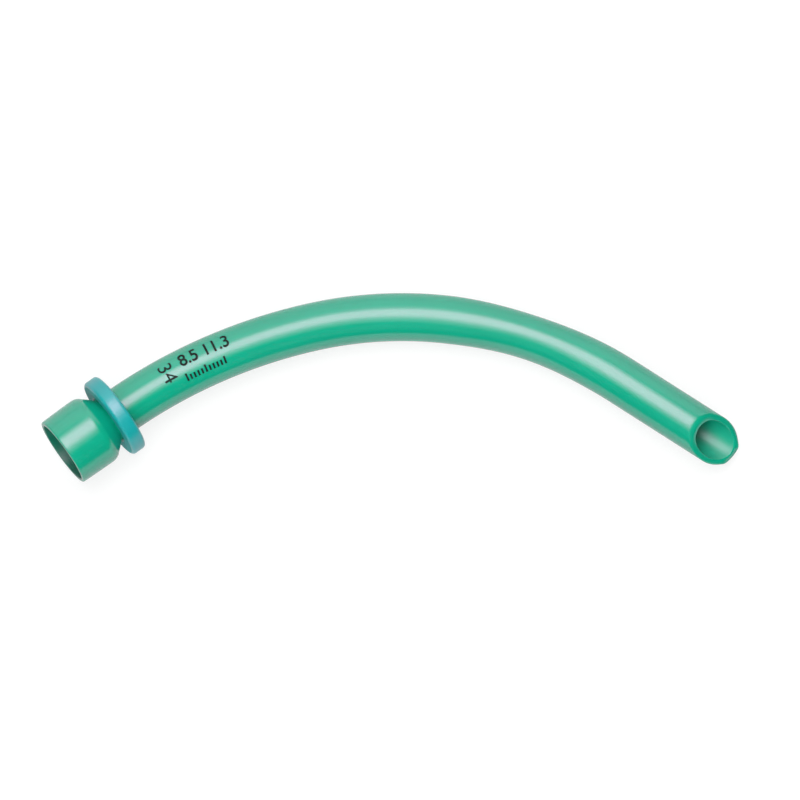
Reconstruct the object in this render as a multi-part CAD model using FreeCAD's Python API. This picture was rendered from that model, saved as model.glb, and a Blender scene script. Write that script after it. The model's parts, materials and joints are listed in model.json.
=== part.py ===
"""Nasopharyngeal airway: a one-piece curved tube with a flared connector and a bevelled tip,
and the separate rounded flange that slides along it.  All sizes are in millimetres.

The tube is first built in a flat bend plane, with its mouth at the origin and its outer
bend towards +Y.  At the end everything is tipped the way the airway comes to rest on a
table, on the rim of its flange and the outer side of its bend.
"""
import FreeCAD
import Part
import math
import os

V = FreeCAD.Vector
UP = V(0, 0, 1)

# Tube: the size number moulded for the patient is the outside girth in French units,
# where three units make one millimetre of diameter.
french_size = 34
tube_radius = french_size / 3 / 2
tube_wall = 1.42
lumen_radius = tube_radius - tube_wall

# Centreline, in the order in which the air comes in: a straight run through the
# connector, a gentle bend, a tighter bend, and the straight run to the tip.
start_heading = math.radians(36.6)
straight_run = 15.5
gentle_radius = 125.1
gentle_angle = math.radians(23.4)
tight_radius = 93.1
tight_angle = math.radians(46.7)
tip_run = 31.5

# The tube flattens a little where it bends most: narrower in the bend plane, wider across.
oval_narrowing = 0.07
oval_widening = 0.05
oval_centre = 0.68
oval_sections = 15
oval_reach = 0.95 - oval_centre

# Connector: a slightly barrelled socket that an adaptor is pushed into, and the rounded
# shoulder that leads it down to the tube.
mouth_radius = 8.50
barrel_radius = 8.64
barrel_length = 8.55
socket_wall = 1.12
socket_bore_radius = mouth_radius - socket_wall
socket_bore_length = 8.6
mouth_rounding = 0.35
shoulder_radius = 3.2
shoulder_slope = math.radians(42)
neck_radius = 0.8
funnel_slope = math.radians(42)

# Tip: a slanting cut whose far end is blunted, with every edge smoothed for the patient.
bevel_length = 12.9
bevel_turn = math.radians(5)
tip_blunting = 1.6
tip_end_rounding = 1.5
tip_bevel_rounding = 0.9
tip_lumen_rounding = 0.28

# Flange: a thick rounded ring that grips the tube and can be slid along the gentle bend.
flange_radius = 10.08
flange_thickness = 3.7
flange_centre = 15.1
flange_clearance = 0.08
flange_rim_rounding = 0.85
flange_bore_rounding = 0.55


def heading(angle):
    return V(math.cos(angle), math.sin(angle), 0)


def left_of(angle):
    return V(-math.sin(angle), math.cos(angle), 0)


# Corner points and bend centres of the centreline.
mouth = V(0, 0, 0)
gentle_start = mouth + heading(start_heading) * straight_run
gentle_centre = gentle_start - left_of(start_heading) * gentle_radius
tight_heading = start_heading - gentle_angle
tight_start = gentle_centre + left_of(tight_heading) * gentle_radius
tight_centre = tight_start - left_of(tight_heading) * tight_radius
end_heading = tight_heading - tight_angle
tip_start = tight_centre + left_of(end_heading) * tight_radius
tip_end = tip_start + heading(end_heading) * tip_run


def straight_rod(radius, start, angle, length):
    return Part.makeCylinder(radius, length, start, heading(angle))


def bent_rod(radius, start, centre, angle, sweep):
    """A round rod that bends to the right about a centre in the bend plane."""
    disc = Part.Face(Part.Wire(Part.makeCircle(radius, start, heading(angle))))
    return disc.revolve(centre, V(0, 0, -1), math.degrees(sweep))


def oval_share(along):
    """How much of the flattening is reached at a share of the way round the tight bend."""
    distance = abs(along - oval_centre) / oval_reach
    if distance > 0.999:
        return 0
    return math.cos(distance * math.pi / 2) ** 2


def oval_ring(radius, along):
    """The tube's outline at a share of the way round the tight bend."""
    angle = tight_heading - tight_angle * along
    place = tight_centre + left_of(angle) * tight_radius
    share = oval_share(along)
    in_plane = 1 - oval_narrowing * share
    across = 1 + oval_widening * share
    turn = FreeCAD.Rotation(UP, left_of(angle) * -1, heading(angle), "ZXY")
    if share == 0:
        ring = Part.Circle(V(0, 0, 0), UP, radius).toShape()
    else:
        ring = Part.Ellipse(V(0, 0, 0), radius * across, radius * in_plane).toShape()
    ring.Placement = FreeCAD.Placement(place, turn)
    return Part.Wire(ring)


def oval_rod(radius, first, last, sections):
    """A rod round part of the tight bend whose outline flattens and recovers."""
    count = round(sections)
    step = (last - first) / (count - 1)
    rings = [oval_ring(radius, first + step * number) for number in range(count)]
    return Part.makeLoft(rings, True, False)


def tight_rods(radius):
    """The tight bend in three lengths: round, flattening, round again."""
    first = oval_centre - oval_reach
    last = oval_centre + oval_reach
    first_heading = tight_heading - tight_angle * first
    last_heading = tight_heading - tight_angle * last
    last_start = tight_centre + left_of(last_heading) * tight_radius
    before = bent_rod(radius, tight_start, tight_centre, tight_heading, tight_angle * first)
    middle = oval_rod(radius, first, last, oval_sections)
    rest = tight_angle * (1 - last)
    after = bent_rod(radius, last_start, tight_centre, last_heading, rest)
    return [before, middle, after]


def line(one, two):
    return Part.makeLine(one, two)


def arc(one, middle, two):
    return Part.Arc(one, middle, two).toShape()


def spun(edges):
    """Spin an outline drawn along +X with its radius along +Y, then aim it at the tube."""
    solid = Part.Face(Part.Wire(edges)).revolve(V(0, 0, 0), V(1, 0, 0), 360)
    solid.rotate(V(0, 0, 0), UP, math.degrees(start_heading))
    return solid


def connector_outside():
    """The outside of the connector, from its mouth down its shoulder to the tube."""
    lip = mouth_rounding
    soft = lip * (1 - math.sqrt(0.5))
    bend_along = shoulder_radius * math.sin(shoulder_slope)
    bend_drop = shoulder_radius * (1 - math.cos(shoulder_slope))
    neck_along = neck_radius * math.sin(shoulder_slope)
    neck_drop = neck_radius * (1 - math.cos(shoulder_slope))
    cone_top = barrel_radius - bend_drop
    cone_low = tube_radius + neck_drop
    cone_along = (cone_top - cone_low) / math.tan(shoulder_slope)
    half = shoulder_slope / 2
    half_along = shoulder_radius * math.sin(half)
    half_drop = shoulder_radius * (1 - math.cos(half))
    neck_half = neck_radius * math.sin(half)
    neck_half_drop = neck_radius * (1 - math.cos(half))
    bend_end = barrel_length + bend_along
    cone_end = bend_end + cone_along
    neck_end = cone_end + neck_along
    middle_along = barrel_length * 0.45
    middle_radius = mouth_radius + (barrel_radius - mouth_radius) * 0.75
    edges = []
    edges.append(line(V(0, 0, 0), V(0, mouth_radius - lip, 0)))
    edges.append(arc(V(0, mouth_radius - lip, 0), V(soft, mouth_radius - soft, 0),
                     V(lip, mouth_radius, 0)))
    edges.append(arc(V(lip, mouth_radius, 0), V(middle_along, middle_radius, 0),
                     V(barrel_length, barrel_radius, 0)))
    edges.append(arc(V(barrel_length, barrel_radius, 0),
                     V(barrel_length + half_along, barrel_radius - half_drop, 0),
                     V(bend_end, cone_top, 0)))
    edges.append(line(V(bend_end, cone_top, 0), V(cone_end, cone_low, 0)))
    edges.append(arc(V(cone_end, cone_low, 0),
                     V(neck_end - neck_half, tube_radius + neck_half_drop, 0),
                     V(neck_end, tube_radius, 0)))
    edges.append(line(V(neck_end, tube_radius, 0), V(straight_run, tube_radius, 0)))
    edges.append(line(V(straight_run, tube_radius, 0), V(straight_run, 0, 0)))
    edges.append(line(V(straight_run, 0, 0), V(0, 0, 0)))
    return spun(edges)


def connector_inside():
    """The socket's bore and the funnel that narrows it to the tube's lumen."""
    funnel = (socket_bore_radius - lumen_radius) / math.tan(funnel_slope)
    funnel_end = socket_bore_length + funnel
    ease = mouth_rounding * 0.6
    soft = ease * (1 - math.sqrt(0.5))
    bore = socket_bore_radius
    edges = []
    edges.append(line(V(-1, 0, 0), V(-1, bore + ease, 0)))
    edges.append(line(V(-1, bore + ease, 0), V(0, bore + ease, 0)))
    edges.append(arc(V(0, bore + ease, 0), V(soft, bore + soft, 0), V(ease, bore, 0)))
    edges.append(line(V(ease, bore, 0), V(socket_bore_length, bore, 0)))
    edges.append(line(V(socket_bore_length, bore, 0), V(funnel_end, lumen_radius, 0)))
    edges.append(line(V(funnel_end, lumen_radius, 0), V(straight_run, lumen_radius, 0)))
    edges.append(line(V(straight_run, lumen_radius, 0), V(straight_run, 0, 0)))
    edges.append(line(V(straight_run, 0, 0), V(-1, 0, 0)))
    return spun(edges)


def wedge(corners, depth):
    """A block whose side view, along the tip and upwards, has the given corners."""
    points = [V(along, -depth / 2, up) for along, up in corners]
    outline = Part.makePolygon(points + [points[0]])
    block = Part.Face(outline).extrude(V(0, depth, 0))
    block.rotate(V(0, 0, 0), V(1, 0, 0), math.degrees(bevel_turn))
    block.rotate(V(0, 0, 0), UP, math.degrees(end_heading))
    block.translate(tip_start)
    return block


def near_tip(edge):
    """True for an edge in the half of the last straight run that is nearer the tip."""
    return (edge.CenterOfMass - tip_start).dot(heading(end_heading)) > tip_run / 2


def is_slanted(face):
    """True for the flat face of the slanting cut."""
    if face.Surface.TypeId != "Part::GeomPlane":
        return False
    return 0.2 < abs(face.normalAt(0, 0).dot(heading(end_heading))) < 0.95


def runs_round_lumen(edge):
    """True for an edge at the tip that stays on the lumen's wall and goes round it."""
    aim = heading(end_heading)
    span = edge.LastParameter - edge.FirstParameter
    for quarter in range(5):
        point = edge.valueAt(edge.FirstParameter + span * quarter / 4) - tip_start
        off_axis = (point - aim * point.dot(aim)).Length
        if abs(off_axis - lumen_radius) > 0.01:
            return False
    run = edge.Vertexes[-1].Point - edge.Vertexes[0].Point
    return near_tip(edge) and abs(run.dot(aim)) < 0.99 * edge.Length


def tip_rod():
    """The last straight run, blunted at its far end, bevelled and rounded all round."""
    rod = straight_rod(tube_radius, tip_start, end_heading, tip_run)
    far = [edge for edge in rod.Edges if edge.Closed and near_tip(edge)]
    rod = rod.makeFillet(tip_end_rounding, far).Solids[0]
    toe = tip_run + tip_blunting
    heel = toe - bevel_length
    past = 3 * tube_radius
    reach = bevel_length / (2 * tube_radius) * past
    corners = []
    corners.append((heel - reach, tube_radius + past))
    corners.append((toe + reach, -tube_radius - past))
    corners.append((toe + reach, tube_radius + past))
    rod = rod.cut(wedge(corners, 4 * past)).Solids[0]
    bevel = [face for face in rod.Faces if is_slanted(face)][0]
    return rod.makeFillet(tip_bevel_rounding, bevel.Edges).Solids[0]


def fuse_all(pieces):
    whole = pieces[0]
    for piece in pieces[1:]:
        whole = whole.fuse(piece)
    return whole


def make_connector():
    """The flared socket, its shoulder and the neck that the flange sits on."""
    return connector_outside().cut(connector_inside()).Solids[0]


def make_gentle_bend():
    """The first stretch of tube past the flange, along which the flange can slide."""
    outside = bent_rod(tube_radius, gentle_start, gentle_centre, start_heading, gentle_angle)
    inside = bent_rod(lumen_radius, gentle_start, gentle_centre, start_heading, gentle_angle)
    return outside.cut(inside).Solids[0]


def make_tight_bend():
    """The stretch that turns down into the throat, flattened a little where it bends most."""
    outside = fuse_all(tight_rods(tube_radius))
    inside = fuse_all(tight_rods(lumen_radius))
    return outside.cut(inside).Solids[0]


def make_tip():
    """The last straight stretch with its slanting, rounded opening."""
    lumen = straight_rod(lumen_radius, tip_start, end_heading, tip_run * 1.2)
    tip = tip_rod().cut(lumen).Solids[0]
    lumen_rim = [edge for edge in tip.Edges if runs_round_lumen(edge)]
    return tip.makeFillet(tip_lumen_rounding, lumen_rim).Solids[0]


def is_round_edge(edge, radius):
    """True for an edge that runs round the flange's axis at about the given radius."""
    axis = heading(start_heading)
    first = edge.valueAt(edge.FirstParameter) - mouth
    middle = edge.valueAt((edge.FirstParameter + edge.LastParameter) / 2) - mouth
    level = abs(first.dot(axis) - middle.dot(axis)) < 0.1
    reach = (first - axis * first.dot(axis)).Length
    return level and abs(reach - radius) < 0.2


def make_flange():
    """The rounded ring, whose bore follows the gentle bend of the tube."""
    low = flange_centre - flange_thickness / 2
    start = mouth + heading(start_heading) * low
    ring = straight_rod(flange_radius, start, start_heading, flange_thickness)
    rim = [edge for edge in ring.Edges if is_round_edge(edge, flange_radius)]
    ring = ring.makeFillet(flange_rim_rounding, rim).Solids[0]
    bore_radius = tube_radius + flange_clearance
    spare = math.radians(3)
    angle = start_heading + spare
    begin = gentle_centre + left_of(angle) * gentle_radius
    ring = ring.cut(bent_rod(bore_radius, begin, gentle_centre, angle, 2 * spare)).Solids[0]
    mouths = [edge for edge in ring.Edges if is_round_edge(edge, bore_radius)]
    return ring.makeFillet(flange_bore_rounding, mouths).Solids[0]


def centreline_rods():
    """Points down the middle of the tube, each with the tube's direction there."""
    rods = []
    for number in range(81):
        share = number / 80
        angle = start_heading - gentle_angle * share
        rods.append((gentle_centre + left_of(angle) * gentle_radius, heading(angle)))
        angle = tight_heading - tight_angle * share
        rods.append((tight_centre + left_of(angle) * tight_radius, heading(angle)))
    return rods


def lowest_point(up, rods):
    """The depth of the lowest point of tube and flange below the mouth, for a given up."""
    depths = []
    for place, along in rods:
        slant = along.dot(up)
        depths.append(place.dot(up) - tube_radius * math.sqrt(1 - slant * slant))
    axis = heading(start_heading)
    slant = abs(axis.dot(up))
    rim = (flange_radius - flange_rim_rounding) * math.sqrt(1 - slant * slant)
    side = (flange_thickness / 2 - flange_rim_rounding) * slant
    middle = axis.dot(up) * flange_centre
    depths.append(middle - rim - side - flange_rim_rounding)
    return min(depths)


def resting_up(weight_centre):
    """The upward direction in which the centre of weight lies as low as it can."""
    rods = centreline_rods()
    lean, roll, step = 0.0, 0.0, 0.1
    best = 1e9
    while step > 1e-7:
        moved = False
        for side in ((0, 0), (1, 0), (-1, 0), (0, 1), (0, -1), (1, 1), (-1, -1), (1, -1), (-1, 1)):
            up = V(lean + side[0] * step, roll + side[1] * step, 1)
            up.normalize()
            height = weight_centre.dot(up) - lowest_point(up, rods)
            if height < best - 1e-12:
                best = height
                found = side
                moved = True
        if moved:
            lean += found[0] * step
            roll += found[1] * step
        else:
            step *= 0.5
    up = V(lean, roll, 1)
    up.normalize()
    return up


# The tube is moulded in one piece; its four stretches meet face to face inside the wall.
nodes = {}
nodes["connector"] = make_connector()
nodes["gentle_bend"] = make_gentle_bend()
nodes["tight_bend"] = make_tight_bend()
nodes["bevelled_tip"] = make_tip()
nodes["flange_ring"] = make_flange()

weight = sum(shape.Volume for shape in nodes.values())
weight_centre = V(0, 0, 0)
for shape in nodes.values():
    weight_centre += shape.CenterOfMass * (shape.Volume / weight)
up = resting_up(weight_centre)
tip_over = FreeCAD.Rotation(up, UP)
box = FreeCAD.BoundBox()
for name, shape in nodes.items():
    shape.Placement = FreeCAD.Placement(V(0, 0, 0), tip_over).multiply(shape.Placement)
    box.add(shape.optimalBoundingBox(False, False))
shift = V(-(box.XMin + box.XMax) / 2, -(box.YMin + box.YMax) / 2, -box.ZMin)
for shape in nodes.values():
    shape.translate(shift)


def placed(point):
    return tip_over.multVec(point) + shift


os.makedirs("parts", exist_ok=True)
for name, shape in nodes.items():
    shape.exportStep("parts/" + name + ".step")
    low = round(shape.optimalBoundingBox(False, False).ZMin, 4)
    print(name, "valid", shape.isValid(), "volume", round(shape.Volume, 2), "low", low)

print("size", round(box.XLength, 3), round(box.YLength, 3), round(box.ZLength, 3))
print("mouth", placed(mouth), "outward", tip_over.multVec(heading(start_heading) * -1))
print("bend centre", placed(gentle_centre), "bend axis", tip_over.multVec(V(0, 0, -1)))
print("flange middle", placed(heading(start_heading) * flange_centre))
print("tip", placed(tip_end), "tip heading", tip_over.multVec(heading(end_heading)))
print("weight centre", placed(weight_centre))
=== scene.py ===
# %% [markdown]
# # A nasopharyngeal airway
# A soft green tube that keeps a patient's nose and throat open. One end flares into a
# socket, the other is cut on a slant and rounded, and a blue-green ring stops the tube
# from slipping in too far. The part's solids are already there as a frame, with their
# joint and their mounts. This lesson gives them a smooth skin, the print, the look of
# soft vinyl, and a plain studio.

# %% Load the frame
import bpy
import bmesh
import json
import math
from mathutils import Matrix, Vector


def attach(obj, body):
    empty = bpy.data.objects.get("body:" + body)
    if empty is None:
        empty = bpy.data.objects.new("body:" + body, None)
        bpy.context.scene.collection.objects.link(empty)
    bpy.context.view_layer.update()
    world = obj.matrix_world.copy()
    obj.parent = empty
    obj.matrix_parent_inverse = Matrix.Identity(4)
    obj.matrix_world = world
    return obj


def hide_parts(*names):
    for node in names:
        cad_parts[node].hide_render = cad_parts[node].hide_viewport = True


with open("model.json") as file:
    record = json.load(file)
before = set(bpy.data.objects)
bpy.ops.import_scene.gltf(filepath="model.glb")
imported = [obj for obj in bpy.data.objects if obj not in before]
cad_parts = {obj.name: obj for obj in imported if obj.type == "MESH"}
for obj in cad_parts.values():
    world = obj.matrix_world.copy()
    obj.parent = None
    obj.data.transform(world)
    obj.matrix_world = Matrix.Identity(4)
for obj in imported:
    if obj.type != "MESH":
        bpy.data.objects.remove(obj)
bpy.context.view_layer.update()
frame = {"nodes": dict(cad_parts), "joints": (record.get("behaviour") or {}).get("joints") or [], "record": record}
MM = 0.001

# %% [markdown]
# ## Where the tube runs
# The frame already says where the socket's axis is, and where the centre of the gentle
# bend is, because the ring slides about that centre. Everything else follows from a few
# sizes of the real tube. Taking the line from the frame, and not from a drawing of our
# own, means that the skin can't drift away from the solids.

# %% The socket's mouth and the direction into the tube
socket = next(m for m in frame["record"]["mounts"] if m["name"] == "connector_socket")
slide = next(j for j in frame["joints"] if j["name"] == "flange_slide")
inward = -Vector(socket["axis"]).normalized()
bend_axis = Vector(slide["axis"]).normalized()
gentle_centre = Vector(slide["pos_m"])
connector_node = frame["nodes"]["connector"]
first_point = min((v.co for v in connector_node.data.vertices), key=lambda co: co.dot(inward))
on_axis = Vector(socket["pos_m"])
mouth = on_axis + inward * (first_point - on_axis).dot(inward)
print("mouth at", tuple(round(c, 5) for c in mouth))

# %% The sizes of the tube
tube_radius = 34 / 3 / 2 * MM
lumen_radius = tube_radius - 1.42 * MM
straight_run = 15.5 * MM
gentle_angle = math.radians(23.4)
tight_radius = 93.1 * MM
tight_angle = math.radians(46.7)
tip_run = 31.12 * MM

# %% The corners of its centreline
turn_gentle = Matrix.Rotation(gentle_angle, 3, bend_axis)
turn_tight = Matrix.Rotation(tight_angle, 3, bend_axis)
gentle_start = mouth + inward * straight_run
tight_start = gentle_centre + turn_gentle @ (gentle_start - gentle_centre)
to_centre = (gentle_centre - tight_start).normalized()
tight_centre = tight_start + to_centre * tight_radius
tip_start = tight_centre + turn_tight @ (tight_start - tight_centre)
tip_heading = turn_tight @ turn_gentle @ inward
print("gentle bend", round((gentle_start - gentle_centre).length / MM, 2), "mm in radius")
print("tip starts at", tuple(round(c, 5) for c in tip_start))

# %% [markdown]
# ## One ring of edges walks the whole skin
# The real tube is moulded in one piece, so its skin is one closed surface. A ring of
# edges starts at the socket's lip and is pushed on and scaled along the outside, spun
# round the two bends, rounded over the slanting tip, and then goes back through the
# inside to where it began. Spin is the tool for a bent tube: it keeps every ring square
# to the centreline, which separate cylinders would not.

# %% Steps that the ring can take
around = 128


def ring_parts(made):
    """The newest ring's edges and vertices, out of what an operator returns."""
    verts = {part for part in made if isinstance(part, bmesh.types.BMVert)}
    edges = [part for part in made if isinstance(part, bmesh.types.BMEdge)
             and part.verts[0] in verts and part.verts[1] in verts]
    return edges, list(verts)


def first_ring(skin, middle, along, radius):
    aim = along.to_track_quat("Z", "Y").to_matrix().to_4x4()
    made = bmesh.ops.create_circle(skin, segments=around, radius=radius,
                                   matrix=Matrix.Translation(middle) @ aim)
    edges = {edge for vert in made["verts"] for edge in vert.link_edges}
    return list(edges), made["verts"]


def push(skin, ring, move):
    made = bmesh.ops.extrude_edge_only(skin, edges=ring[0])
    edges, verts = ring_parts(made["geom"])
    bmesh.ops.translate(skin, verts=verts, vec=move)
    return edges, verts


def resize(skin, ring, middle, share):
    bmesh.ops.scale(skin, verts=ring[1], vec=(share, share, share),
                    space=Matrix.Translation(-middle))


def spin(skin, ring, centre, angle, steps):
    made = bmesh.ops.spin(skin, geom=ring[0] + ring[1], cent=centre, axis=bend_axis,
                          angle=angle, steps=steps)
    return ring_parts(made["geom_last"])


# %% [markdown]
# ## The connector's outline
# The socket is nearly straight, swells a little like a barrel, and turns down to the
# tube in a rounded shoulder. Its outline is a short list of stations, each a distance
# from the mouth and a radius. The round parts of the outline are worked out by one
# small function, so that a rounding stays round whatever its size.

# %% Stations along the connector, outside and inside
mouth_radius = 8.50 * MM
barrel_radius = 8.64 * MM
barrel_length = 8.55 * MM
lip = 0.35 * MM
shoulder_radius = 3.2 * MM
shoulder_slope = math.radians(42)
neck_radius = 0.8 * MM
bore_radius = socket["dims"]["r_mm"] * MM
bore_length = 8.6 * MM
funnel_slope = math.radians(42)


def rounding(along, radius, size, start, end, steps):
    """Stations on a round corner whose centre is at a distance and radius."""
    found = []
    for step in range(steps + 1):
        angle = start + (end - start) * step / steps
        found.append((along + size * math.sin(angle), radius + size * math.cos(angle)))
    return found


def connector_outside():
    quarter = math.pi / 2
    stations = rounding(lip, mouth_radius - lip, lip, -quarter, 0, 6)
    for step in range(1, 9):
        share = step / 9
        swell = (barrel_radius - mouth_radius) * math.sin(share * quarter)
        stations.append((lip + (barrel_length - lip) * share, mouth_radius + swell))
    stations += rounding(barrel_length, barrel_radius - shoulder_radius, shoulder_radius,
                         0, shoulder_slope, 8)
    drop = barrel_radius - stations[-1][1]
    low = tube_radius + neck_radius * (1 - math.cos(shoulder_slope))
    cone = (barrel_radius - drop - low) / math.tan(shoulder_slope)
    neck = stations[-1][0] + cone + neck_radius * math.sin(shoulder_slope)
    stations += rounding(neck, tube_radius + neck_radius, neck_radius,
                         math.pi + shoulder_slope, math.pi, 6)
    stations.append((straight_run, tube_radius))
    return stations


def connector_inside():
    funnel = (bore_radius - lumen_radius) / math.tan(funnel_slope)
    soft = 0.5 * MM
    dip = 0.08 * MM
    stations = [(bore_length + funnel + soft, lumen_radius)]
    stations.append((bore_length + funnel, lumen_radius + dip))
    stations.append((bore_length + funnel / 2, (bore_radius + lumen_radius) / 2))
    stations.append((bore_length, bore_radius - dip))
    stations.append((bore_length - soft, bore_radius))
    stations.append((bore_length / 2, bore_radius))
    ease = lip * 0.6
    stations += rounding(ease, bore_radius + ease, ease, math.pi, math.pi * 1.5, 5)
    return stations


outside = connector_outside()
inside = connector_inside()
print(len(outside), "stations outside,", len(inside), "inside")

# %% [markdown]
# ## The slanting tip
# The tip is a straight tube cut on a slant that faces up, with its far end blunted and
# its rim rounded, so that it slides along the nose without scratching. On the real one
# the cut is a little steeper at its heel, and the blunt end isn't quite square. A
# Boolean cut and a bevel would leave thin faces in the rim. Here each ring of the last
# stretch is slid along the tube instead, each point by its own height, so the rings
# lean over gradually until the last one lies in the slant. The rim is then rounded like
# a true fillet, widest at the heel, so it stays soft all the way round.

# %% How far the tip reaches at each point
bevel_length = 12.0 * MM
bevel_turn = math.radians(9)
blunting = 0.75 * MM
end_skew = 0.12
heel_ease = 0.8 * MM
end_ease = 0.5 * MM
rim_rounding = 0.5 * MM
heel_rounding = 2.2 * MM
end_rounding = 0.28 * MM
lumen_rounding = 0.28 * MM
softness = 0.15 * MM
rim_arc = 8
lumen_arc = 5
rim_end = rim_arc + lumen_arc
facing = Matrix.Rotation(bevel_turn, 3, tip_heading) @ -bend_axis
heel = tip_run + blunting - bevel_length
inner_side = bend_axis.cross(tip_heading).normalized()


def slant_at(off_axis):
    """How far along the tip the slanting cut lies, for an offset from the axis."""
    share = (tube_radius - off_axis.dot(facing)) / (2 * tube_radius)
    steeper = max(0, 1 - share / 0.3) ** 2
    longer = max(0, (share - 0.8) / 0.2) ** 2
    return heel + bevel_length * share + heel_ease * steeper + end_ease * longer


def end_at(off_axis):
    """How far along the tip the blunt end lies."""
    return tip_run - end_skew * off_axis.dot(inner_side)


def reach(off_axis):
    """The slanting cut and the blunt end, run together softly."""
    nearer = math.exp((heel - slant_at(off_axis)) / softness)
    nearer += math.exp((heel - end_at(off_axis)) / softness)
    return heel - softness * math.log(nearer)


def rim_profile(out):
    """Radius and distance of each point over the rim, on one side of the tube."""
    edge = reach(out * tube_radius)
    rise = (edge - reach(out * lumen_radius)) / (tube_radius - lumen_radius)
    outer_point = out * tube_radius
    past_end = slant_at(outer_point) - end_at(outer_point)
    blunt = 1 / (1 + math.exp(-past_end / (2 * softness)))
    heel_share = max(0, out.dot(facing)) ** 2
    size = rim_rounding + (end_rounding - rim_rounding) * blunt
    size += (heel_rounding - rim_rounding) * heel_share
    middle = edge - size * (rise + math.sqrt(1 + rise * rise))
    last = math.pi / 2 + math.atan(rise)
    profile = []
    for step in range(rim_arc):
        angle = last * step / (rim_arc - 1)
        profile.append((tube_radius - size + size * math.cos(angle),
                        middle + size * math.sin(angle)))
    radius = lumen_radius + lumen_rounding
    along = edge - rise * (tube_radius - radius)
    profile.append((radius, along))
    for step in range(1, lumen_arc + 1):
        angle = math.pi / 2 * step / lumen_arc
        inward_by = lumen_rounding * math.sin(angle)
        drop = lumen_rounding * (1 - math.cos(angle)) + rise * inward_by
        profile.append((radius - inward_by, along - drop))
    return profile


def side_of(vert):
    """The direction from the tip's axis to a vertex."""
    off_axis = vert.co - tip_start
    return (off_axis - tip_heading * off_axis.dot(tip_heading)).normalized()


def lean(ring, share, step):
    """Slide each point to its share of the way to a point on the rim's profile."""
    for vert in ring[1]:
        out = side_of(vert)
        radius, along = rim_profile(out)[step]
        vert.co = tip_start + tip_heading * (share * along) + out * radius


# %% [markdown]
# ## Walk the skin
# The steps come in the order in which a finger would follow the surface. The two bends
# are cut into short chords, about a millimetre long, which is finer than the eye can
# tell from a true arc. On the way back the points get two marks: the lumen is duller
# than the outside, and painted shade deepens its colour everywhere inside, fading out towards the tip.

# %% The outside, from the lip to the tip
skin = bmesh.new()
dull_mark = skin.verts.layers.float.new("dull")
painted_shade_mark = skin.verts.layers.float.new("shade")
gentle_steps = 50
tight_steps = 70
tip_steps = 28
ring = first_ring(skin, mouth + inward * outside[0][0], inward, outside[0][1])
lip_ring = ring
here, size = outside[0]
for along, radius in outside[1:]:
    ring = push(skin, ring, inward * (along - here))
    resize(skin, ring, mouth + inward * along, radius / size)
    here, size = along, radius
ring = spin(skin, ring, gentle_centre, gentle_angle, gentle_steps)
ring = spin(skin, ring, tight_centre, tight_angle, tight_steps)
for step in range(1, tip_steps + 1):
    ring = push(skin, ring, tip_heading * (tip_run / tip_steps))
    lean(ring, step / tip_steps, 0)
print("outside:", len(skin.verts), "points")

# %% Over the rounded rim
for step in range(1, rim_end + 1):
    ring = push(skin, ring, tip_heading * 0)
    lean(ring, 1, step)
print("rim:", rim_end, "rings")

# %% Back through the lumen to the lip
shade_fade = 5 * MM
for vert in ring[1]:
    vert[dull_mark] = 1
for step in range(tip_steps - 1, -1, -1):
    ring = push(skin, ring, tip_heading * 0)
    lean(ring, step / tip_steps, rim_end)
    # Painted shade: full inside the tube, fading out over the last few millimetres before the tip.
    inside_by = heel + shade_fade - tip_run * step / tip_steps
    for vert in ring[1]:
        vert[painted_shade_mark] = min(1, max(0, inside_by / shade_fade))
ring = spin(skin, ring, tight_centre, -tight_angle, tight_steps)
ring = spin(skin, ring, gentle_centre, -gentle_angle, gentle_steps)
here, size = straight_run, lumen_radius
for along, radius in inside:
    ring = push(skin, ring, inward * (along - here))
    resize(skin, ring, mouth + inward * along, radius / size)
    here, size = along, radius
bmesh.ops.bridge_loops(skin, edges=ring[0] + lip_ring[0])
bmesh.ops.recalc_face_normals(skin, faces=skin.faces)
print("skin:", len(skin.faces), "faces, volume", round(skin.calc_volume() / MM ** 3), "mm3")

# %% [markdown]
# ## Flatten the tightest bend
# A soft tube that is bent this far goes slightly oval: narrower in the plane of the
# bend, and wider across it. The effect is small, and it fades out on both sides, so it
# is a move of the points that are there already.

# %% Narrow the tube where it bends most
oval_narrowing = 0.07
oval_widening = 0.05
oval_centre = 0.68
oval_end = 0.95


def flatten(skin):
    start = (tight_start - tight_centre).normalized()
    side = turn_tight @ start
    square = bend_axis.cross(start)
    moved = 0
    for vert in skin.verts:
        arm = vert.co - tight_centre
        across = arm.dot(bend_axis)
        angle = math.atan2(arm.dot(square), arm.dot(start))
        share = abs(angle / tight_angle - oval_centre) / (oval_end - oval_centre)
        if share >= 1 or angle < 0 or arm.dot(side) < 0:
            continue
        amount = math.cos(share * math.pi / 2) ** 2
        outward = Matrix.Rotation(angle, 3, bend_axis) @ start
        middle = tight_centre + outward * tight_radius
        off = vert.co - middle
        in_plane = outward * off.dot(outward)
        out_of_plane = bend_axis * across
        vert.co = middle + in_plane * (1 - oval_narrowing * amount)
        vert.co += out_of_plane * (1 + oval_widening * amount)
        moved += 1
    return moved


print("flattened", flatten(skin), "points")

# %% [markdown]
# ## Make the skin a piece of the part
# A helper turns a finished bmesh into an object whose place is in its mesh, shades it
# smooth, and lets it ride on the body that it belongs to. The skin then stands in for
# the four solids of the tube, which stay behind it for the weight and the contacts.

# %% From bmesh to piece


def make_piece(name, shape, body):
    mesh = bpy.data.meshes.new(name)
    shape.to_mesh(mesh)
    shape.free()
    mesh.shade_smooth()
    piece = bpy.data.objects.new(name, mesh)
    bpy.context.scene.collection.objects.link(piece)
    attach(piece, body)
    return piece


tube = make_piece("vinyl_tube", skin, "airway")
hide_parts("connector", "gentle_bend", "tight_bend", "bevelled_tip")
print(tube.name, "has", len(tube.data.polygons), "faces")

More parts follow.
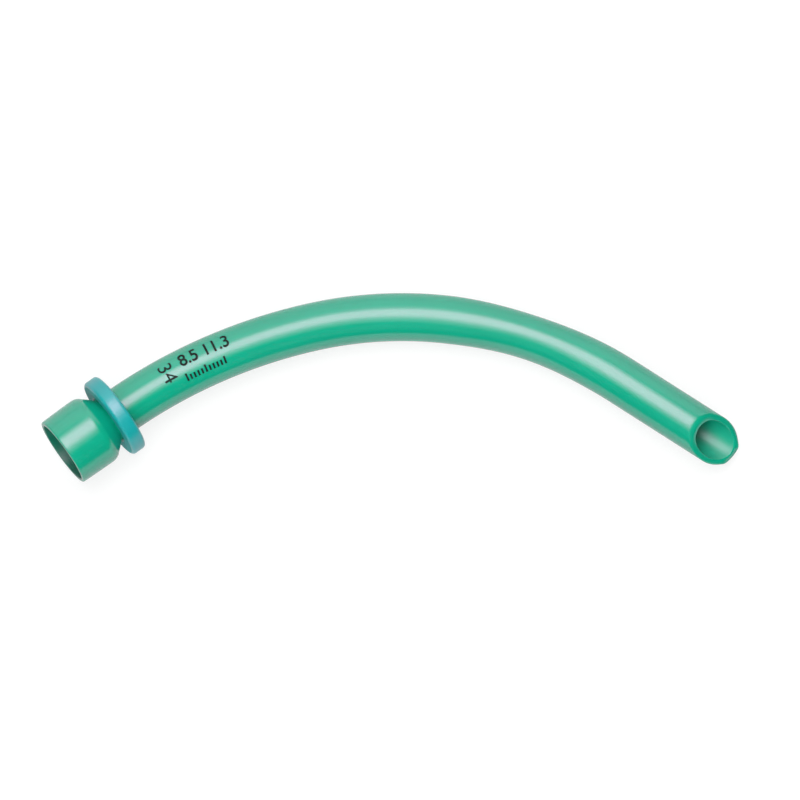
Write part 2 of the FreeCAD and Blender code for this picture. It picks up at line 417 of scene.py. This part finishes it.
# %% [markdown]
# ## The flange
# The flange is a thick ring of stiffer vinyl with soft edges. Its section is a small
# rectangle whose corners are beveled, spun once round the socket's axis. It rides on
# its own body, because it slides along the tube.

# %% Spin the rounded section
flange_radius = 10.08 * MM
flange_thickness = 3.7 * MM
flange_centre = 15.1 * MM
flange_bore = tube_radius + 0.08 * MM
flange_rounding = 0.85 * MM
hole_rounding = 0.55 * MM
tiny = 0.001 * MM
outward = bend_axis.cross(inward).normalized()


def make_flange():
    shape = bmesh.new()
    middle = mouth + inward * flange_centre
    half = flange_thickness / 2
    wall = flange_radius - flange_bore
    aim = Matrix((inward, outward, inward.cross(outward))).transposed().to_4x4()
    section_middle = middle + outward * (flange_bore + wall / 2)
    bmesh.ops.create_grid(shape, x_segments=1, y_segments=1, size=0.5)
    bmesh.ops.scale(shape, verts=shape.verts, vec=(flange_thickness, wall, 1))
    bmesh.ops.transform(shape, verts=shape.verts,
                        matrix=Matrix.Translation(section_middle) @ aim)
    outer = [v for v in shape.verts if (v.co - section_middle).dot(outward) > 0]
    bmesh.ops.bevel(shape, geom=outer, affect="VERTICES", offset=flange_rounding,
                    segments=8, profile=0.5, material=-1)
    inner = [v for v in shape.verts if (v.co - middle).dot(outward) < flange_bore + 10 * tiny]
    bmesh.ops.bevel(shape, geom=inner, affect="VERTICES", offset=hole_rounding,
                    segments=6, profile=0.5, material=-1)
    section = list(shape.edges)
    bmesh.ops.delete(shape, geom=list(shape.faces), context="FACES_ONLY")
    bmesh.ops.spin(shape, geom=section + list(shape.verts), cent=middle, axis=inward,
                   angle=2 * math.pi, steps=around, use_merge=True)
    bmesh.ops.remove_doubles(shape, verts=shape.verts, dist=tiny)
    bmesh.ops.recalc_face_normals(shape, faces=shape.faces)
    dull_mark = shape.verts.layers.float.new("dull")
    for vert in shape.verts:
        if abs((vert.co - middle).dot(inward)) > half - tiny:
            vert[dull_mark] = 1
    return shape


flange = make_piece("flange", make_flange(), "flange")
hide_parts("flange_ring")
print(flange.name, "has", len(flange.data.polygons), "faces")

# %% [markdown]
# ## Print that lies on a round surface
# The print is a plain size number across the tube and, beside it, plain figures and a
# short ruler. Flat lettering would cut through a round tube, so each mark is sliced
# into narrow strips, and its points are then laid on the surface: along the tube round
# the gentle bend, and across it round the tube's own centre.

# %% Lay a flat mark on the tube
ink_height = 0.025 * MM
strip_width = 0.35 * MM
top_of_tube = -bend_axis


def lay_on_tube(shape, from_mouth, across):
    """Wrap a flat mark, drawn in metres round its own origin, at a place on the tube."""
    for vert in shape.verts:
        angle = (from_mouth + vert.co.x - straight_run) / (gentle_start - gentle_centre).length
        turn = Matrix.Rotation(angle, 3, bend_axis)
        out_of_bend = (turn @ (gentle_start - gentle_centre)).normalized()
        middle = gentle_centre + turn @ (gentle_start - gentle_centre)
        roll = (across + vert.co.y) / tube_radius
        away = top_of_tube * math.cos(roll) + out_of_bend * math.sin(roll)
        vert.co = middle + away * (tube_radius + ink_height)


def slice_mark(shape, width):
    """Cut a flat mark into strips, so that it can bend."""
    for direction in (Vector((1, 0, 0)), Vector((0, 1, 0))):
        places = [v.co.dot(direction) for v in shape.verts]
        place = min(places) + width
        while place < max(places):
            everything = list(shape.verts) + list(shape.edges) + list(shape.faces)
            bmesh.ops.bisect_plane(shape, geom=everything, plane_co=direction * place,
                                   plane_no=direction, dist=1e-7)
            place += width


def mark_piece(name, shape, from_mouth, across):
    bmesh.ops.triangulate(shape, faces=shape.faces)
    slice_mark(shape, strip_width)
    lay_on_tube(shape, from_mouth, across)
    bmesh.ops.recalc_face_normals(shape, faces=shape.faces)
    return make_piece(name, shape, "airway")


# %% Figures as flat meshes


def figures(text, height, turned, stretch=1.0, weight=0.0):
    """Plain figures centred on the origin, as a bmesh, turned by an angle."""
    curve = bpy.data.curves.new("figures", "FONT")
    curve.body = text
    curve.align_x = "CENTER"
    curve.align_y = "CENTER"
    curve.offset = weight
    curve.resolution_u = 6
    holder = bpy.data.objects.new("figures", curve)
    flat = bpy.data.meshes.new_from_object(holder)
    bpy.data.objects.remove(holder)
    shape = bmesh.new()
    shape.from_mesh(flat)
    bpy.data.meshes.remove(flat)
    bpy.data.curves.remove(curve)
    low = min(v.co.y for v in shape.verts)
    high = max(v.co.y for v in shape.verts)
    left = min(v.co.x for v in shape.verts)
    right = max(v.co.x for v in shape.verts)
    bmesh.ops.translate(shape, verts=shape.verts,
                        vec=(-(left + right) / 2, -(low + high) / 2, 0))
    size = height / (high - low)
    bmesh.ops.scale(shape, verts=shape.verts, vec=(size * stretch, size, size))
    bmesh.ops.rotate(shape, verts=shape.verts, matrix=Matrix.Rotation(turned, 3, "Z"))
    return shape


# %% Print the marks
size_number = mark_piece("size_number", figures("34", 3.35 * MM, math.radians(-90), 1.1),
                         30.3 * MM, 0.5 * MM)
diameters = mark_piece("diameter_figures", figures("8.5 11.3", 3.3 * MM, 0, 0.89, 0.02),
                       40.1 * MM, 1.75 * MM)
print("printed", size_number.name, "and", diameters.name)

# %% A short ruler below the figures
tick_count = 11
tick_pitch = 1.0 * MM
tick_width = 0.5 * MM
long_tick = 1.9 * MM
short_tick = 1.35 * MM


def ruler():
    shape = bmesh.new()
    for number in range(tick_count):
        tall = long_tick if number % 5 == 0 else short_tick
        made = bmesh.ops.create_grid(shape, x_segments=1, y_segments=1, size=0.5)
        bmesh.ops.scale(shape, verts=made["verts"], vec=(tick_width, tall, 1))
        along = (number - (tick_count - 1) / 2) * tick_pitch
        bmesh.ops.translate(shape, verts=made["verts"], vec=(along, tall / 2, 0))
    return shape


ticks = mark_piece("ruler_ticks", ruler(), 38.9 * MM, -3.5 * MM)
print("printed", ticks.name, "with", tick_count, "ticks")

# %% [markdown]
# ## Soft vinyl
# The tube is soft vinyl: a strong green that light enters a little way, under a satin
# surface that shows a broad, milky highlight. The flange is the same stuff in a bluer
# green, a little less smooth. Both have the faint grain that moulded vinyl has, so the
# grain is a node group that each material uses with its own values. The lumen and the
# flange's flat sides are duller than the polished outside, and the points there carry a
# mark of their own, which raises the roughness. Little light gets far into the tube, so
# a second mark, on the points inside it, paints shade there by deepening the colour.

# %% The grain of moulded vinyl, as a node group


def moulding_grain():
    group = bpy.data.node_groups.new("moulding_grain", "ShaderNodeTree")
    face = group.interface
    for name, kind, value in (("Size", "NodeSocketFloat", 900.0),
                              ("Deep Colour", "NodeSocketColor", (0, 0, 0, 1)),
                              ("Pale Colour", "NodeSocketColor", (1, 1, 1, 1)),
                              ("Smoothest", "NodeSocketFloat", 0.3),
                              ("Roughest", "NodeSocketFloat", 0.4)):
        face.new_socket(name=name, in_out="INPUT", socket_type=kind).default_value = value
    face.new_socket(name="Colour", in_out="OUTPUT", socket_type="NodeSocketColor")
    face.new_socket(name="Roughness", in_out="OUTPUT", socket_type="NodeSocketFloat")
    face.new_socket(name="Height", in_out="OUTPUT", socket_type="NodeSocketFloat")
    nodes = group.nodes
    links = group.links
    entry = nodes.new("NodeGroupInput")
    leave = nodes.new("NodeGroupOutput")
    place = nodes.new("ShaderNodeTexCoord")
    clouds = nodes.new("ShaderNodeTexNoise")
    clouds.inputs["Scale"].default_value = 70
    clouds.inputs["Detail"].default_value = 3
    fine = nodes.new("ShaderNodeTexNoise")
    fine.inputs["Detail"].default_value = 2
    links.new(place.outputs["Object"], clouds.inputs["Vector"])
    links.new(place.outputs["Object"], fine.inputs["Vector"])
    links.new(entry.outputs["Size"], fine.inputs["Scale"])
    colour = nodes.new("ShaderNodeMix")
    colour.data_type = "RGBA"
    links.new(clouds.outputs["Fac"], colour.inputs[0])
    links.new(entry.outputs["Deep Colour"], colour.inputs[6])
    links.new(entry.outputs["Pale Colour"], colour.inputs[7])
    links.new(colour.outputs[2], leave.inputs["Colour"])
    rough = nodes.new("ShaderNodeMapRange")
    links.new(fine.outputs["Fac"], rough.inputs["Value"])
    links.new(entry.outputs["Smoothest"], rough.inputs["To Min"])
    links.new(entry.outputs["Roughest"], rough.inputs["To Max"])
    links.new(rough.outputs["Result"], leave.inputs["Roughness"])
    links.new(fine.outputs["Fac"], leave.inputs["Height"])
    return group


grain = moulding_grain()
print("node group", grain.name, "has", len(grain.nodes), "nodes")

# %% A material of soft vinyl
# How much of the deep colour the painted shade inside the tube leaves.
inner_shade = 0.5


def soft_vinyl(name, deep, pale, smoothest, roughest, dull, bump, glow):
    material = bpy.data.materials.new(name)
    material.use_nodes = True
    nodes = material.node_tree.nodes
    links = material.node_tree.links
    shader = nodes["Principled BSDF"]
    texture = nodes.new("ShaderNodeGroup")
    texture.node_tree = grain
    texture.inputs["Deep Colour"].default_value = (*deep, 1)
    texture.inputs["Pale Colour"].default_value = (*pale, 1)
    texture.inputs["Smoothest"].default_value = smoothest
    texture.inputs["Roughest"].default_value = roughest
    relief = nodes.new("ShaderNodeBump")
    relief.inputs["Strength"].default_value = bump
    relief.inputs["Distance"].default_value = 0.02 * MM
    dull_parts = nodes.new("ShaderNodeAttribute")
    dull_parts.attribute_name = "dull"
    duller = nodes.new("ShaderNodeMix")
    duller.inputs["B"].default_value = dull
    links.new(dull_parts.outputs["Fac"], duller.inputs["Factor"])
    links.new(texture.outputs["Roughness"], duller.inputs["A"])
    # Painted shade: points marked inside the tube take a deeper colour, inner_shade times the deep colour.
    shaded_parts = nodes.new("ShaderNodeAttribute")
    shaded_parts.attribute_name = "shade"
    painted_shade_mix = nodes.new("ShaderNodeMix")
    painted_shade_mix.data_type = "RGBA"
    painted_shade_mix.inputs[7].default_value = (*(inner_shade * part for part in deep), 1)
    links.new(shaded_parts.outputs["Fac"], painted_shade_mix.inputs[0])
    links.new(texture.outputs["Colour"], painted_shade_mix.inputs[6])
    links.new(painted_shade_mix.outputs[2], shader.inputs["Base Color"])
    links.new(duller.outputs["Result"], shader.inputs["Roughness"])
    links.new(texture.outputs["Height"], relief.inputs["Height"])
    links.new(relief.outputs["Normal"], shader.inputs["Normal"])
    shader.inputs["IOR"].default_value = 1.53
    shader.inputs["Specular IOR Level"].default_value = 1.0
    shader.inputs["Specular Tint"].default_value = (1.0, 0.52, 0.82, 1)
    shader.inputs["Coat Weight"].default_value = 0.15
    shader.inputs["Coat Roughness"].default_value = 0.2
    shader.inputs["Coat IOR"].default_value = 1.5
    shader.inputs["Subsurface Weight"].default_value = glow
    shader.inputs["Subsurface Radius"].default_value = (0.3, 1.0, 0.7)
    shader.inputs["Subsurface Scale"].default_value = 0.8 * MM
    return material


green_vinyl = soft_vinyl("green_vinyl", deep=(0.001, 0.40, 0.24), pale=(0.002, 0.46, 0.28),
                         smoothest=0.18, roughest=0.24, dull=0.42, bump=0.25, glow=0.2)
teal_vinyl = soft_vinyl("teal_vinyl", deep=(0.002, 0.40, 0.395), pale=(0.004, 0.45, 0.445),
                        smoothest=0.30, roughest=0.36, dull=0.85, bump=0.15, glow=0.2)
tube.data.materials.append(green_vinyl)
flange.data.materials.append(teal_vinyl)

# %% [markdown]
# ## Printing ink
# The ink is nearly black with a little of the green under it, and duller than the
# vinyl. Pad printing is never quite even, so a soft noise lightens it in places.

# %% A material of printing ink


def printing_ink():
    material = bpy.data.materials.new("printing_ink")
    material.use_nodes = True
    nodes = material.node_tree.nodes
    links = material.node_tree.links
    shader = nodes["Principled BSDF"]
    place = nodes.new("ShaderNodeTexCoord")
    patches = nodes.new("ShaderNodeTexNoise")
    patches.inputs["Scale"].default_value = 900
    patches.inputs["Detail"].default_value = 4
    shades = nodes.new("ShaderNodeValToRGB")
    shades.color_ramp.elements[0].position = 0.35
    shades.color_ramp.elements[0].color = (0.004, 0.012, 0.011, 1)
    shades.color_ramp.elements[1].position = 0.75
    shades.color_ramp.elements[1].color = (0.012, 0.05, 0.04, 1)
    links.new(place.outputs["Object"], patches.inputs["Vector"])
    links.new(patches.outputs["Fac"], shades.inputs["Fac"])
    links.new(shades.outputs["Color"], shader.inputs["Base Color"])
    shader.inputs["Roughness"].default_value = 0.6
    shader.inputs["Specular IOR Level"].default_value = 0.2
    return material


ink = printing_ink()
for mark in (size_number, diameters, ticks):
    mark.data.materials.append(ink)
print("inked 3 marks")

# %% [markdown]
# ## The studio
# The airway lies on a white floor under one big oval softbox, nearly above it and a
# little behind. It draws the long pale band on the tube. A real softbox is brightest in
# its middle, so it is made of three ovals, each smaller than the last, and the band
# fades softly to both sides. A low panel behind gives the far side its milky look. The
# front only gets a fill that doesn't show in reflections, so the near side keeps its
# full colour. To the camera the floor is nearly white by itself, and the lamps' share
# on top of that leaves a faint shadow. In reflections the floor is a quarter dimmer, so
# that the tube keeps its green right out to the edges.

# %% The floor
floor_grey = 0.26
floor_brightness = 0.77
floor_in_reflections = 0.75


def make_floor():
    shape = bmesh.new()
    bmesh.ops.create_grid(shape, x_segments=1, y_segments=1, size=3)
    mesh = bpy.data.meshes.new("floor")
    shape.to_mesh(mesh)
    shape.free()
    floor = bpy.data.objects.new("floor", mesh)
    bpy.context.scene.collection.objects.link(floor)
    material = bpy.data.materials.new("white_floor")
    material.use_nodes = True
    nodes = material.node_tree.nodes
    links = material.node_tree.links
    matt = nodes["Principled BSDF"]
    matt.inputs["Base Color"].default_value = (floor_grey, floor_grey, floor_grey, 1)
    matt.inputs["Roughness"].default_value = 0.9
    matt.inputs["Specular IOR Level"].default_value = 0.1
    path = nodes.new("ShaderNodeLightPath")
    seen = nodes.new("ShaderNodeMath")
    seen.operation = "MAXIMUM"
    seen_through = nodes.new("ShaderNodeMath")
    seen_through.operation = "MAXIMUM"
    links.new(path.outputs["Is Camera Ray"], seen.inputs[0])
    mirrored = nodes.new("ShaderNodeMath")
    mirrored.operation = "MULTIPLY"
    mirrored.inputs[1].default_value = floor_in_reflections
    links.new(path.outputs["Is Glossy Ray"], mirrored.inputs[0])
    links.new(mirrored.outputs["Value"], seen.inputs[1])
    links.new(seen.outputs["Value"], seen_through.inputs[0])
    links.new(path.outputs["Is Transmission Ray"], seen_through.inputs[1])
    links.new(seen_through.outputs["Value"], matt.inputs["Emission Color"])
    matt.inputs["Emission Strength"].default_value = floor_brightness
    mesh.materials.append(material)
    return floor


floor = make_floor()
print("floor", floor.name, "is ready")

# %% The lamps


def soft_lamp(name, place, wide, deep, power, shape="RECTANGLE", turned=0):
    light = bpy.data.lights.new(name, "AREA")
    light.shape = shape
    light.size = wide
    light.size_y = deep
    light.energy = power
    lamp = bpy.data.objects.new(name, light)
    bpy.context.scene.collection.objects.link(lamp)
    lamp.location = place
    aim = Vector(place).to_track_quat("Z", "Y").to_matrix()
    lamp.rotation_euler = (aim @ Matrix.Rotation(math.radians(turned), 3, "Z")).to_euler()
    return lamp


outer_oval = soft_lamp("overhead_lamp", (-0.10, 0.14, 1.08), 1.25, 1.85, 4.6,
                       "ELLIPSE", -56)
inner_oval = soft_lamp("overhead_inner", (-0.1215, 0.212, 1.066), 0.95, 1.35, 4.5,
                       "ELLIPSE", -62)
middle_oval = soft_lamp("overhead_centre", (-0.121, 0.231, 1.058), 0.6, 0.87, 3.2,
                        "ELLIPSE", -62)
behind = soft_lamp("panel_behind", (0, 1.0, 0.45), 2.2, 0.9, 5.6)
front_fill = soft_lamp("front_fill", (0, -0.9, 0.7), 1.5, 0.6, 8)
front_fill.visible_glossy = False
world = bpy.data.worlds.new("studio")
bpy.context.scene.world = world
world.use_nodes = True
world.node_tree.nodes["Background"].inputs["Color"].default_value = (1, 1, 1, 1)
world.node_tree.nodes["Background"].inputs["Strength"].default_value = 0.03
bpy.context.scene.view_settings.view_transform = "Standard"
print("lamps:", outer_oval.name, inner_oval.name, middle_oval.name, behind.name,
      front_fill.name)

# %% [markdown]
# ## The camera
# The airway is seen almost from above with a long lens, slightly turned. The camera
# is placed by its direction and distance, which is easier to read than a location.

# %% Aim the camera
view_turn = math.radians(-4.20)
view_tilt = math.radians(6.77)
view_roll = math.radians(4.15)
view_distance = 1.6
aimed_at = Vector((2.14, -3.26, 10.0)) * MM
pixels_per_mm = 4.2723
picture_width = 800
sensor_width = 36


def make_camera():
    toward = Vector((math.sin(view_tilt) * math.sin(view_turn),
                     -math.sin(view_tilt) * math.cos(view_turn), math.cos(view_tilt)))
    level = Vector((0, 0, 1)).cross(toward).normalized()
    upright = toward.cross(level)
    right = level * math.cos(view_roll) + upright * math.sin(view_roll)
    above = upright * math.cos(view_roll) - level * math.sin(view_roll)
    data = bpy.data.cameras.new("camera")
    data.sensor_width = sensor_width
    data.lens = sensor_width * pixels_per_mm * (view_distance / MM) / picture_width
    camera = bpy.data.objects.new("camera", data)
    bpy.context.scene.collection.objects.link(camera)
    place = Matrix((right, above, toward)).transposed().to_4x4()
    camera.matrix_world = Matrix.Translation(aimed_at + toward * view_distance) @ place
    bpy.context.scene.camera = camera
    return camera


camera = make_camera()
print("camera lens", round(camera.data.lens, 1), "mm")
